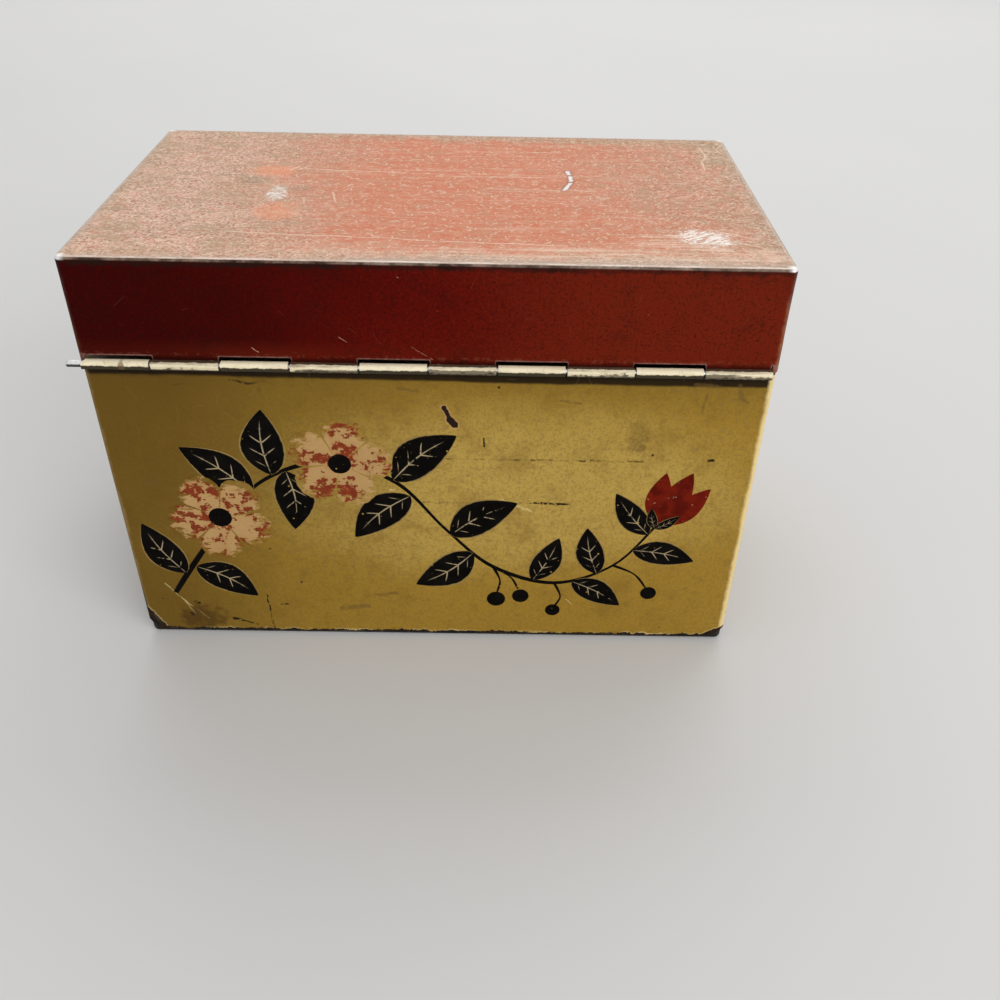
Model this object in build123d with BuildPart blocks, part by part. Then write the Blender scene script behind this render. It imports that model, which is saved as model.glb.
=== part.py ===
from build123d import *
import os

# Hinged tin box for recipe cards. All sizes are in millimetres.
# X runs left to right, Y from the hinge side (-Y) to the front (+Y), Z up.
# The origin is on the table, under the middle of the body.

# sheet and overall sizes
sheet = 0.25  # tinplate of the wrapper, the pan and the lid
body_width = 135.8  # outside of the wrapper, left to right
body_depth = 79.0  # outside of the wrapper, hinge side to front
hinge_height = 72.2  # table to the middle of the hinge pin
box_height = 93.7  # table to the top of the closed lid

# wrapper: the four walls
bend_inside_radius = 0.75  # upright bends, on the inside
wrapper_rise = 1.2  # the pan stands this far out of the wrapper
nip_width = 1.8  # corners of the blank are nipped off: along the lower edge
nip_height = 4.0  # and up the bend
rim_rise = 3.5  # front and side walls stand this far above the pin, inside the lid
rim_relief = 2.2  # the side walls' rims stop this far short of the hinge side
fold_height = 3.2  # safe edge, folded flat against the inside of the rim
fold_end_gap = 1.5  # from each end of a folded edge to the nearest bend

# bottom pan
pan_flange = 8.0  # table to the top of the upturned flange
pan_bend_radius = 0.9  # lower edge, on the outside
pan_corner_radius = 1.6  # corners seen from above, on the outside

# hinge: the wall and the lid's skirt are curled round one wire, turn by turn
pin_diameter = 1.3
pin_fit = 0.06  # clearance all round between the wire and a curl
pin_length = 134.0
pin_overhang = 3.0  # the wire has crept out past the first curl by this much
pin_end_chamfer = 0.15
curl_sweep = 300.0  # degrees of sheet round the wire
knuckle_count = 10  # the wrapper's and the lid's take turns, from the left
knuckle_gap = 0.4  # end to end between neighbours
hinge_left_inset = 0.5  # first curl, from the wrapper's left side
hinge_right_inset = 1.2  # last curl, from the wrapper's right side
wall_notch_gap = 0.4  # under the lid's curls
corner_drop = 0.5  # the wall's top, below the lid's edge, past the ends of the hinge

# lid
lid_gap = 0.10  # between the wrapper's walls and the lid's skirt, at its least
lid_edge_radius = 0.7  # top edges, on the outside
lid_notch_height = 1.6  # pin to the top of the slots over the wrapper's curls
lid_notch_flare = 0.35  # each slot is this much wider at its mouth, on each side

# places worked out from them
bend_radius = bend_inside_radius + sheet
back_y = -body_depth / 2  # hinge side, outside of the sheet
front_y = body_depth / 2
side_x = body_width / 2
rim_top = hinge_height + rim_rise

curl_inside_radius = pin_diameter / 2 + pin_fit
curl_radius = curl_inside_radius + sheet
pin_y = back_y - curl_inside_radius

hinge_left = -side_x + hinge_left_inset
hinge_right = side_x - hinge_right_inset
knuckle_pitch = (hinge_right - hinge_left + knuckle_gap) / knuckle_count
knuckle_width = knuckle_pitch - knuckle_gap
knuckle_starts = [hinge_left + i * knuckle_pitch for i in range(knuckle_count)]
body_knuckles = knuckle_starts[0::2]
lid_knuckles = knuckle_starts[1::2]

lid_overlap = lid_gap + sheet
front_swing = rim_rise**2 / (2 * body_depth)  # the skirt's arc as it clears the rim
lid_width = body_width + 2 * lid_overlap
lid_depth = body_depth + lid_overlap + front_swing  # flush at the hinge side
lid_corner_radius = bend_radius + lid_overlap
lid_y = (lid_overlap + front_swing) / 2

notch_reach = lid_corner_radius  # slots pass right through the sheet, bend and all


def add_curl(start, sweep):
    # One knuckle: the sheet goes on from the wall's plane, round the pin.
    # A positive sweep comes up from below, a negative one down from above.
    with BuildSketch(Plane.YZ.offset(start)) as ring:
        with BuildLine():
            outside = CenterArc((pin_y, hinge_height), curl_radius, 0, sweep)
            inside = CenterArc((pin_y, hinge_height), curl_inside_radius, 0, sweep)
            Line(outside @ 0, inside @ 0)
            Line(outside @ 1, inside @ 1)
        make_face()
    extrude(ring.sketch, amount=knuckle_width)


def cut_at_hinge(left, right, bottom, top, flare=0.0):
    # A slot through the sheet on the hinge side, wider at the bottom by the flare.
    with BuildSketch(Plane.XZ.offset(-back_y - notch_reach)) as slot:
        with BuildLine():
            Polyline(
                (left - flare, bottom),
                (right + flare, bottom),
                (right, top),
                (left, top),
                close=True,
            )
        make_face()
    extrude(slot.sketch, amount=2 * notch_reach, mode=Mode.SUBTRACT)


os.makedirs("parts", exist_ok=True)

# wrapper with its curls
with BuildPart() as body_shell:
    with BuildSketch(Plane.XY.offset(wrapper_rise)):
        RectangleRounded(body_width, body_depth, bend_radius)
        RectangleRounded(
            body_width - 2 * sheet,
            body_depth - 2 * sheet,
            bend_inside_radius,
            mode=Mode.SUBTRACT,
        )
    extrude(amount=rim_top - sheet - wrapper_rise)

    # Above the pin, the hinge side and its two bends are cut away.
    with BuildSketch(Plane.XY.offset(hinge_height)):
        with Locations((0, back_y)):
            Rectangle(lid_width, 2 * rim_relief)
    extrude(amount=box_height - hinge_height, mode=Mode.SUBTRACT)

    # Below it, the wall makes room for the lid's curls and, at both ends, for its edge.
    for start in lid_knuckles:
        cut_at_hinge(
            start - knuckle_gap,
            start + knuckle_width + knuckle_gap,
            hinge_height - curl_radius - wall_notch_gap,
            hinge_height + sheet,
        )
    for left, right in ((-lid_width / 2, hinge_left), (hinge_right, lid_width / 2)):
        cut_at_hinge(left, right, hinge_height - corner_drop, hinge_height + sheet)

    for start in body_knuckles:
        add_curl(start, curl_sweep)

    # The safe edge: the top of the front and side walls is folded in and pressed flat.
    fold_middle = rim_top - fold_height / 2
    front_fold_half = side_x - bend_radius - fold_end_gap
    side_fold_back = back_y + rim_relief
    side_fold_front = front_y - bend_radius - fold_end_gap
    with BuildSketch(Plane.YZ):
        with Locations((front_y - sheet, fold_middle)):
            SlotOverall(fold_height, 2 * sheet, rotation=90)
    extrude(amount=front_fold_half, both=True)
    with BuildSketch(Plane.XZ.offset(-(side_fold_back + side_fold_front) / 2)):
        with Locations((side_x - sheet, fold_middle), (sheet - side_x, fold_middle)):
            SlotOverall(fold_height, 2 * sheet, rotation=90)
    extrude(amount=(side_fold_front - side_fold_back) / 2, both=True)

    # The blank's nipped corners leave the pan's corners bare.
    for x in (-1, 1):
        for y in (-1, 1):
            corner = Plane(
                origin=(x * side_x, y * front_y, wrapper_rise),
                x_dir=(-x, -y, 0),
                z_dir=(y, -x, 0),
            )
            rise = nip_height if corner.y_dir.Z > 0 else -nip_height
            with BuildSketch(corner):
                with BuildLine():
                    Polyline(
                        (-nip_width, 0),
                        (-nip_width, 2 * rise),
                        (0, rise),
                        (nip_width / 2**0.5, 0),
                        close=True,
                    )
                make_face()
            extrude(amount=2 * nip_width, both=True, mode=Mode.SUBTRACT)
body_shell.part.label = "body_shell"
export_step(body_shell.part, "parts/body_shell.step")

# bottom pan
with BuildPart() as bottom_pan:
    with BuildSketch():
        RectangleRounded(
            body_width - 2 * sheet, body_depth - 2 * sheet, pan_corner_radius
        )
    extrude(amount=pan_flange)
    fillet(bottom_pan.faces().sort_by(Axis.Z)[0].edges(), radius=pan_bend_radius)
    offset(amount=-sheet, openings=bottom_pan.faces().sort_by(Axis.Z)[-1])
bottom_pan.part.label = "bottom_pan"
export_step(bottom_pan.part, "parts/bottom_pan.step")

# hinge pin
with BuildPart() as hinge_pin:
    with BuildSketch(Plane.YZ.offset(hinge_left - pin_overhang)):
        with Locations((pin_y, hinge_height)):
            Circle(pin_diameter / 2)
    extrude(amount=pin_length)
    chamfer(hinge_pin.edges().filter_by(GeomType.CIRCLE), length=pin_end_chamfer)
hinge_pin.part.label = "hinge_pin"
export_step(hinge_pin.part, "parts/hinge_pin.step")

# lid with its curls
with BuildPart() as lid_shell:
    with BuildSketch(Plane.XY.offset(hinge_height)):
        with Locations((0, lid_y)):
            RectangleRounded(lid_width, lid_depth, lid_corner_radius)
    extrude(amount=box_height - hinge_height)
    fillet(lid_shell.faces().sort_by(Axis.Z)[-1].edges(), radius=lid_edge_radius)
    offset(amount=-sheet, openings=lid_shell.faces().sort_by(Axis.Z)[0])

    for start in body_knuckles:
        cut_at_hinge(
            start - knuckle_gap,
            start + knuckle_width + knuckle_gap,
            hinge_height,
            hinge_height + lid_notch_height,
            lid_notch_flare,
        )
    for start in lid_knuckles:
        add_curl(start, -curl_sweep)
lid_shell.part.label = "lid_shell"
export_step(lid_shell.part, "parts/lid_shell.step")
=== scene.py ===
import math

import bmesh
import bpy
import numpy as np
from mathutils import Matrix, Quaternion, Vector


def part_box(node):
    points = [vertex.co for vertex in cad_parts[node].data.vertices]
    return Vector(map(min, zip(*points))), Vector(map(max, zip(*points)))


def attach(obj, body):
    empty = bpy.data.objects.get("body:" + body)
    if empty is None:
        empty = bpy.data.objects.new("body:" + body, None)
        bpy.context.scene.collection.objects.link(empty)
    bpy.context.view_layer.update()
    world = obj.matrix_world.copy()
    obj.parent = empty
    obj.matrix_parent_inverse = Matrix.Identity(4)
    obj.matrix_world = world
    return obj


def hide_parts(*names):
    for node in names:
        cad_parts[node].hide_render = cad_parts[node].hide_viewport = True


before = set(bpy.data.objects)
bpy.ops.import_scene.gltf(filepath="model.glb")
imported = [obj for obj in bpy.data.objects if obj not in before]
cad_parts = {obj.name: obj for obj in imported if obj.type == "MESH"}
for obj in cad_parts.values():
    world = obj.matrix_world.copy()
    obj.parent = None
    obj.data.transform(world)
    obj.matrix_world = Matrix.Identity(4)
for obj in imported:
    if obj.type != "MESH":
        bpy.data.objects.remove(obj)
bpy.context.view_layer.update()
print("frame loaded:", ", ".join(sorted(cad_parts)))

# Everything is in metres. X runs to the right of the hinge side, Y to the front, Z up.
mm = 0.001
touch = 0.01 * mm  # places nearer than this meet

bodyLow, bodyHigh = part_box("body_shell")
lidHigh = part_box("lid_shell")[1]
panLow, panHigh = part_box("bottom_pan")
wireLow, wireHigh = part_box("hinge_pin")

tin = dict(
    thickness=0.25 * mm,
    wireFit=0.06 * mm,  # between the wire and a curl
    wallBend=1.0 * mm,  # upright bends of the walls, outside
    bendPoints=7,  # along an upright bend
    sharpEdge=38,  # degrees; gentler edges are shaded smooth
)
hingeY = (wireLow.y + wireHigh.y) / 2
hingeZ = (wireLow.z + wireHigh.z) / 2
wireRadius = (wireHigh.z - wireLow.z) / 2
curlRadius = wireRadius + tin["wireFit"]  # the coloured face of the sheet, rolled inwards
hingeWall = hingeY + curlRadius  # the hinge side's outer plane, for walls and lid alike
sideX, frontY = bodyHigh.x, bodyHigh.y

hinge = dict(
    knuckles=10,
    gap=0.4 * mm,  # end to end between neighbours
    leftInset=0.5 * mm,
    rightInset=1.2 * mm,
    sweep=300,  # degrees of sheet round the wire
    turns=26,  # rows round one curl
    squareness=0.10,  # the curls were pressed a little square
    raggedEnd=0.05 * mm,
    ripple=0.025 * mm,
    cutWave=0.14,  # how far the sheet's cut end wanders, as an angle
    notch=0.4 * mm,  # under the lid's curls
    cornerDrop=0.5 * mm,
    slot=1.6 * mm,  # over the wrapper's curls
    slotFlare=0.35 * mm,
)
hingeLeft = hinge["leftInset"] - sideX
hingeRight = sideX - hinge["rightInset"]
pitch = (hingeRight - hingeLeft + hinge["gap"]) / hinge["knuckles"]
knuckleWidth = pitch - hinge["gap"]
spans = [(left, left + knuckleWidth) for left in hingeLeft + pitch * np.arange(hinge["knuckles"])]
bodySpans, lidSpans = spans[0::2], spans[1::2]  # left and right end of each knuckle


def ramp(value, low, high):
    # smooth step: 0 below low, 1 above high, 3t^2 - 2t^3 between them
    share = np.clip((value - low) / (high - low), 0, 1)
    return share * share * (3 - 2 * share)


def waves(a, b, seed, wavelength, count=5):
    # sum of sine waves in random directions, scaled to lie between -1 and 1
    draw = np.random.default_rng(seed)
    angle = draw.uniform(0, math.tau, count)
    length = wavelength * draw.uniform(0.5, 1.6, count)
    phase = draw.uniform(0, math.tau, count)
    total = 0
    for turn, span, start in zip(angle, length, phase):
        total = total + np.sin(math.tau * (a * math.cos(turn) + b * math.sin(turn)) / span + start)
    return total / count


def bell(x, y, placeX, placeY, size):
    # exp(-distance^2 / size^2)
    return np.exp(-((x - placeX) ** 2 + (y - placeY) ** 2) / size**2)


def steps(marks, step):
    # places from the first mark to the last, through every mark, at most a step apart
    runs = [
        np.linspace(low, high, max(2, math.ceil((high - low) / step) + 1))[:-1]
        for low, high in zip(marks[:-1], marks[1:])
    ]
    return np.append(np.concatenate(runs), marks[-1])


def ringWalk(halfX, halfY, middleY, radius, step, back=(), sides=(), front=()):
    # Rounded rectangle walked anticlockwise from above, from the hinge side's left end and back to it:
    # straight sides through their marks, and quarter circles. Returns places and outward directions.
    half = np.array([halfX, halfY])
    flat = half - radius
    places, outwards = [], []
    for number, marks in enumerate((back, sides, front, sides)):
        outward = np.array(((0, -1), (1, 0), (0, 1), (-1, 0))[number])
        walk = np.array([-outward[1], outward[0]])
        reach = abs(walk) @ flat
        marks = [mark for mark in sorted(marks) if abs(mark) < reach - 5 * touch]
        along = steps([-reach, *marks, reach], step)[:: walk.sum()]
        angle = np.radians(np.linspace(-90, 0, tin["bendPoints"])[1:-1] + 90 * number)
        bend = np.stack([np.cos(angle), np.sin(angle)], -1)
        places += [outward * half + along[:, None] * abs(walk), (outward + walk) * flat + radius * bend]
        outwards += [np.tile(outward, (len(along), 1)), bend]
    places, outwards = (np.concatenate([*rows, rows[0][:1]]) for rows in (places, outwards))
    return places + [0, middleY], outwards


def carried(ring, outward, inset, height):
    # the ring drawn in by each inset, at each height: one row of points for each
    inward = ring - outward * inset[..., None]
    return np.concatenate([inward, np.broadcast_to(height, inward.shape[:2])[..., None]], -1)


def bentEnd(ring, outward, level, size, upward=1):
    # A quarter circle of the bend's radius from the walls to the level.
    over = np.radians(np.linspace(0, 90, size["bendRows"]))[:, None]
    rise = level - upward * size["bend"] * (1 - np.sin(over))
    return carried(ring, outward, size["bend"] * (1 - np.cos(over)), rise)


def shrinking(edge, halfX, halfY, middleY, share):
    # rows from the edge to a line along the middle, each by its share of the way
    spine = edge * [(halfX - halfY) / halfX, 0] + [0, middleY]
    rows = edge + (spine - edge) * share[..., None]
    return rows[..., 0], rows[..., 1]


def gridPart(points, keep=None, uv=None, flip=False):
    # one patch: rows by columns of points, the cells to keep, and where they lie on the pattern
    rows, columns = points.shape[:2]
    index = np.arange(rows * columns).reshape(rows, columns)
    corners = [index[:-1, :-1], index[:-1, 1:], index[1:, 1:], index[1:, :-1]]
    quads = np.stack(corners[::-1] if flip else corners, -1)
    quads = quads.reshape(-1, 4) if keep is None else quads[keep]
    uv = np.zeros((rows, columns, 2)) if uv is None else uv
    return points.reshape(-1, 3), quads, uv.reshape(-1, 2)


def makePiece(name, parts, finishes, thickness=0.0, patternMap=None):
    # Stacks the patches into one mesh, drops unused points, merges shared edges and, for sheet,
    # thickens it inwards. The finished mesh has no modifiers.
    points, maps = (np.concatenate([part[k] for part in parts]) for k in (0, 2))
    firsts = np.cumsum([0] + [len(part[0]) for part in parts])
    faces = np.concatenate([part[1] + first for part, first in zip(parts, firsts)])
    used, faces = np.unique(faces, return_inverse=True)
    faces = faces.reshape(-1, 4)
    mesh = bpy.data.meshes.new(name)
    mesh.from_pydata(points[used].tolist(), [], faces.tolist())
    if patternMap:
        mesh.uv_layers.new(name=patternMap).data.foreach_set("uv", maps[used][faces.ravel()].ravel())
    work = bmesh.new()
    work.from_mesh(mesh)
    bmesh.ops.remove_doubles(work, verts=work.verts, dist=0.2 * touch)
    bmesh.ops.dissolve_degenerate(work, edges=work.edges, dist=0.1 * touch)
    work.to_mesh(mesh)
    work.free()
    for finish in finishes:
        mesh.materials.append(finish)
    piece = bpy.data.objects.new(name, mesh)
    bpy.context.scene.collection.objects.link(piece)
    if thickness:
        wall = piece.modifiers.new("wall", "SOLIDIFY")
        wall.thickness, wall.offset = thickness, -1
        wall.use_even_offset = wall.use_rim = True
        wall.material_offset, wall.material_offset_rim = (1, 2) if len(finishes) > 1 else (0, 0)
        bpy.context.view_layer.update()
        shaped = piece.evaluated_get(bpy.context.evaluated_depsgraph_get())
        piece.data = bpy.data.meshes.new_from_object(shaped)
        piece.modifiers.clear()
    piece.data.shade_smooth()
    piece.data.set_sharp_from_angle(angle=math.radians(tin["sharpEdge"]))
    return piece


# how far each wall is pushed in, and the dents of hard use: place, size and depth
wear = dict(
    wallSwell=0.14 * mm,
    swellFrom=(9 * mm, 22 * mm),  # the swell grows between these levels
    swellTo=(56 * mm, 69 * mm),  # and fades between these
    edgeStrip=9 * mm,  # beside an upright bend, where it fades too
    wallDents=(
        (hingeWall, 22 * mm, 30 * mm, 7 * mm, 0.10 * mm),
        (hingeWall, -12 * mm, 55 * mm, 9 * mm, 0.08 * mm),
        (frontY, 31 * mm, 24 * mm, 6 * mm, 0.12 * mm),
        (frontY, -44 * mm, 50 * mm, 10 * mm, 0.14 * mm),
    ),
    lidSag=0.20 * mm,
    lidDents=(
        (-34 * mm, -2 * mm, 4.5 * mm, 0.12 * mm),
        (54 * mm, -24 * mm, 5 * mm, 0.14 * mm),
        (27 * mm, 9 * mm, 2.2 * mm, 0.07 * mm),
        (-4 * mm, -19 * mm, 9 * mm, 0.10 * mm),
        (-52 * mm, 24 * mm, 8 * mm, 0.10 * mm),
    ),
)


def wallSink(x, y, z):
    # Depth of a wall below its flat shape: a low swell of crossed waves, nothing at the pan or near
    # the rim, plus the dents, each a bell curve round its place.
    depth = wear["wallSwell"] * (1 + 0.8 * waves(x + 0.3 * y, z, 11, 70 * mm))
    for wallY, placeX, placeZ, size, deep in wear["wallDents"]:
        depth = depth + deep * bell(x, z, placeX, placeZ, size) * (abs(y - wallY) < tin["wallBend"])
    fromBend = [
        ramp(reach - abs(along), 0, wear["edgeStrip"]) * (abs(across) > wall - tin["wallBend"] - touch)
        for along, reach, across, wall in ((x, sideX, y, frontY), (y, frontY, x, sideX))
    ]
    window = ramp(z, *wear["swellFrom"]) * (1 - ramp(z, *wear["swellTo"]))
    return depth * window * np.maximum(*fromBend)


def topSink(x, y):
    # Depth of the lid's top below flat: a shallow sag, highest at the edges, and the dents.
    middleY, halfY = (lidHigh.y + hingeWall) / 2, (lidHigh.y - hingeWall) / 2
    sag = (1 - (x / lidHigh.x) ** 2) * (1 - ((y - middleY) / halfY) ** 2)
    depth = wear["lidSag"] * np.clip(sag, 0, 1) * (1 + 0.7 * waves(x, y, 5, 60 * mm))
    for placeX, placeY, size, deep in wear["lidDents"]:
        depth = depth + deep * bell(x, y, placeX, placeY, size)
    return depth


def onSpan(ring, left, right):
    # which places of the ring lie on one knuckle, from left to right, each once
    x, y = ring.T
    found = np.flatnonzero((y < hingeWall + touch) & (x > left - touch) & (x < right + touch))
    found = found[np.argsort(x[found])]
    return found[np.append(True, np.diff(x[found]) > 0.1 * touch)]


def cellsOf(ring, spans):
    # the middle of each cell of the ring, and whether it is on the hinge side and level with a knuckle
    x, y = ((ring[:-1] + ring[1:]) / 2).T
    return x, y, y < hingeWall + touch, np.any([(x > a - touch) & (x < b + touch) for a, b in spans], axis=0)


def curlRows(columns, start, sign, seed, mouthIn=0.0, leftNip=0.0):
    # One knuckle: rows of an almost round, slightly square roll about the hinge line, from the wall's
    # plane through the sweep. radius = curl radius * (1 + squareness * sin(2 angle)^2) + a small ripple.
    # The ends move out from the tongue's width to the full width over the first sixth of a turn.
    turn = np.radians(np.linspace(0, hinge["sweep"], hinge["turns"]))[:, None]
    share = (columns - columns[0]) / (columns[-1] - columns[0])
    grow = ramp(turn, 0, math.pi / 3)
    left = start + mouthIn * (1 - grow) + leftNip * (ramp(turn, 0.2, 1.3) - ramp(turn, 1.6, 2.9))
    right = start + knuckleWidth - mouthIn * (1 - grow)
    ragged = hinge["raggedEnd"] * waves(turn * 3 * mm, share * mm, seed, 4 * mm) * grow
    across = left + ragged + (right - left - 2 * ragged) * share
    across = np.where(grow < 1e-9, columns[None, :], across)
    ripple = hinge["ripple"] * (1 + waves(across, turn * 2 * mm, seed + 1, 7 * mm)) * grow
    radius = curlRadius * (1 + hinge["squareness"] * np.sin(2 * turn) ** 2 * grow) + ripple
    cut = hinge["cutWave"] * ramp(turn, 4.6, 5.24)
    angle = turn + cut * waves(across, turn * mm, seed + 2, 9 * mm)
    y = np.maximum(hingeY + radius * np.cos(angle), hingeY - curlRadius)
    return np.stack([across, y, hingeZ + sign * radius * np.sin(angle)], -1)


# wrapper: the four walls
wrapper = dict(
    nipWidth=1.8 * mm,
    nipHeight=4.0 * mm,
    rimRelief=2.2 * mm,
    foldDepth=3.2 * mm,
    foldEndGap=1.5 * mm,
    foldRadius=0.265 * mm,
    foldRows=8,
    step=2.4 * mm,
    lowRows=(0, 0.35, 0.8, 1.5, 2.4, 3.4, 4.8, 6.8),  # millimetres over the lower edge
    middleRows=26,
    middleFrom=9 * mm,  # level of the first of them
    middleClear=1.2 * mm,  # from the last of them to the notches
    ragged=0.10 * mm,
    creepNip=0.7 * mm,  # the first curl is drawn in where the wire crept out
)


def wrapperParts():
    # The walls are a rounded rectangle carried straight up; the rim is folded in over a half circle.
    bend = tin["wallBend"]
    notchLevel = hingeZ - curlRadius - tin["thickness"] - hinge["notch"]
    cornerLevel = hingeZ - hinge["cornerDrop"]
    sideStart = hingeWall + wrapper["rimRelief"]
    foldEnd = bend + wrapper["foldEndGap"]
    ring, outward = ringWalk(
        sideX, frontY, 0, bend, wrapper["step"], back=np.ravel(bodySpans),
        sides=[sideStart, frontY - foldEnd], front=[foldEnd - sideX, sideX - foldEnd],
    )
    x, y = ring.T
    cellX, cellY, onBack, level = cellsOf(ring, bodySpans)
    onRim = cellY > sideStart
    onSide = (abs(cellX) > sideX - touch) & (cellY > hingeWall + bend)

    # lower edge: a little uneven, and nipped at the corners
    cornerness = (sideX - abs(x) + frontY - abs(y)) / wrapper["nipWidth"]
    nip = np.maximum(wrapper["nipHeight"] * (1 - cornerness), 0)
    lowEdge = bodyLow.z + nip + wrapper["ragged"] * (1 + waves(x, y, 3, 9 * mm)) / 2
    levels = np.concatenate([
        bodyLow.z + np.array(wrapper["lowRows"]) * mm,
        np.linspace(wrapper["middleFrom"], notchLevel - wrapper["middleClear"], wrapper["middleRows"]),
        [notchLevel, cornerLevel, hingeZ],
    ])
    z = np.maximum(levels[:, None], lowEdge)
    walls = carried(ring, outward, wallSink(x, y, z), z)
    topLevel = np.where(onBack, np.where(level, hingeZ, notchLevel), cornerLevel)
    topLevel = np.where(onRim | onSide, hingeZ, topLevel)
    parts = [gridPart(walls, levels[1:, None] - 0.1 * touch <= topLevel)]

    # rim above the hinge line: up, over and down the inside, by how far in and how high
    over = np.radians(np.linspace(0, 180, wrapper["foldRows"] + 1))
    radius, rimTop = wrapper["foldRadius"], bodyHigh.z
    inward = np.concatenate([np.zeros(4), radius * (1 - np.cos(over)), np.full(3, 2 * radius)])
    height = np.concatenate([
        np.linspace(hingeZ, rimTop - radius, 5)[:4],
        rimTop - radius + radius * np.sin(over),
        np.linspace(rimTop - radius, rimTop - wrapper["foldDepth"], 4)[1:],
    ])
    rim = carried(ring, outward, inward[:, None], height[:, None])
    folded = (abs(cellX) < sideX - foldEnd) | (cellY < frontY - foldEnd)
    isWall = np.arange(len(height) - 1)[:, None] < 4
    parts.append(gridPart(rim, onRim & (folded | isWall)))

    for number, (left, right) in enumerate(bodySpans):
        columns = x[onSpan(ring, left, right)]
        nipLeft = 0.0 if number else wrapper["creepNip"]
        parts.append(gridPart(curlRows(columns, left, 1, 20 + 3 * number, leftNip=nipLeft)))
    return parts


cover = dict(
    bend=0.7 * mm,  # top edges, outside
    cornerRadius=1.35 * mm,
    bendRows=8,
    topRows=34,
    crowding=1.15,  # above 1, the top's rows lie closer at its edge
    step=2.2 * mm,
    slotRows=(0.5, 1.2),  # millimetres over the slots
    skirtFrom=76 * mm,  # level of the first of the skirt's other rows
    skirtRows=8,
    skirtWave=0.05 * mm,
    waveFrom=(77 * mm, 82 * mm),  # the wave grows between these levels
    waveUntil=90 * mm,  # and fades from here to the bend
)


def coverParts():
    # Skirt: a rounded rectangle carried straight up. Then a quarter-circle bend, and the top, whose
    # rows shrink from the bend to a line along the middle.
    halfX, halfY = lidHigh.x, (lidHigh.y - hingeWall) / 2
    middleY = (lidHigh.y + hingeWall) / 2
    ring, outward = ringWalk(
        halfX, halfY, middleY, cover["cornerRadius"], cover["step"], back=np.ravel(lidSpans)
    )
    x, y = ring.T
    _, _, onBack, level = cellsOf(ring, lidSpans)
    slotTop, bendLevel = hingeZ + hinge["slot"], lidHigh.z - cover["bend"]
    levels = np.concatenate([
        [hingeZ, hingeZ + hinge["slot"] / 2, slotTop],
        slotTop + np.array(cover["slotRows"]) * mm,
        np.linspace(cover["skirtFrom"], bendLevel, cover["skirtRows"] + 1)[:-1],
    ])
    z = levels[:, None] + 0 * x

    # the skirt waves a little, and the slots widen towards their mouths
    wave = cover["skirtWave"] * (1 + waves(x + 0.4 * y, z, 8, 50 * mm))
    wave = wave * ramp(z, *cover["waveFrom"]) * (1 - ramp(z, cover["waveUntil"], bendLevel))
    skirt = carried(ring, outward, wave, z)
    flare = hinge["slotFlare"] * np.clip((slotTop - z) / hinge["slot"], 0, 1)
    for end, sign in ((0, 1), (1, -1)):
        isEnd = np.any([abs(x - span[end]) < touch for span in lidSpans], axis=0) & (y < hingeWall + touch)
        skirt[..., 0] += sign * flare * isEnd

    bend = bentEnd(ring, outward, lidHigh.z, cover)
    share = np.linspace(0, 1, cover["topRows"])[1:, None] ** cover["crowding"]
    topX, topY = shrinking(bend[-1, :, :2], halfX, halfY, middleY, share)
    top = np.stack([topX, topY, lidHigh.z - topSink(topX, topY) * ramp(share, 0, 0.12)], -1)
    rows = np.concatenate([skirt, bend, top])
    keep = np.ones((len(rows) - 1, len(x) - 1), bool)
    keep[:2] = ~(onBack & ~level)
    parts = [gridPart(rows, keep)]

    for number, (left, right) in enumerate(lidSpans):
        tongue = skirt[0, onSpan(ring, left, right), 0]
        curl = curlRows(tongue, left, -1, 60 + 3 * number, mouthIn=hinge["slotFlare"])
        parts.append(gridPart(curl[::-1]))
    return parts


pan = dict(bend=0.9 * mm, cornerRadius=1.6 * mm, bendRows=7, bottomRows=22, step=3 * mm, sag=0.12 * mm)


def panParts():
    # Flange: a rounded rectangle carried straight down; then a quarter-circle bend and the flat
    # bottom, whose rows shrink to a line along the middle. The middle stands clear of the table.
    halfX, halfY = panHigh.x, panHigh.y
    ring, outward = ringWalk(halfX, halfY, 0, pan["cornerRadius"], pan["step"])
    z = np.linspace(panHigh.z, panLow.z + pan["bend"], 6)[:-1, None] + 0 * ring[:, 0]
    flange = carried(ring, outward, 0 * z, z)
    bend = bentEnd(ring, outward, panLow.z, pan, upward=-1)
    share = np.linspace(0, 1, pan["bottomRows"])[1:, None]
    flatX, flatY = shrinking(bend[-1, :, :2], halfX, halfY, 0, share)
    lift = pan["sag"] * ramp(share, 0.1, 0.6) * (1 + 0.5 * waves(flatX, flatY, 9, 60 * mm))
    bottom = np.stack([flatX, flatY, panLow.z + lift], -1)
    return [gridPart(np.concatenate([flange, bend, bottom]), flip=True)]


wire = dict(
    around=28, along=90, chamfer=0.15 * mm, bow=0.02 * mm,
    lipX=0.05 * mm,  # each end is rounded over this length
    lipShares=(0, 0.4, 0.75, 0.88),  # its radii, from the middle out
)


def wireParts():
    # A circle carried along the hinge line, bowed by a hair; its ends are pinched in and closed.
    length = wireHigh.x - wireLow.x
    run = wire["chamfer"] + np.linspace(0, 1, wire["along"]) * (length - 2 * wire["chamfer"])
    lip = np.array([0, 0, 0, wire["lipX"]])
    x = wireLow.x + np.concatenate([lip, run, length - lip[::-1]])
    pinch = np.array(wire["lipShares"])
    radius = wireRadius * np.concatenate([pinch, np.ones(wire["along"]), pinch[::-1]])[:, None]
    angle = np.linspace(0, math.tau, wire["around"] + 1)[None, :]
    bow = wire["bow"] * np.sin(math.pi * 3 * (x - wireLow.x) / length)[:, None]
    y = np.clip(hingeY + radius * np.cos(angle) + bow, wireLow.y, wireHigh.y)
    return [gridPart(np.stack([x[:, None] + 0 * angle, y, hingeZ + radius * np.sin(angle)], -1))]


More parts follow.
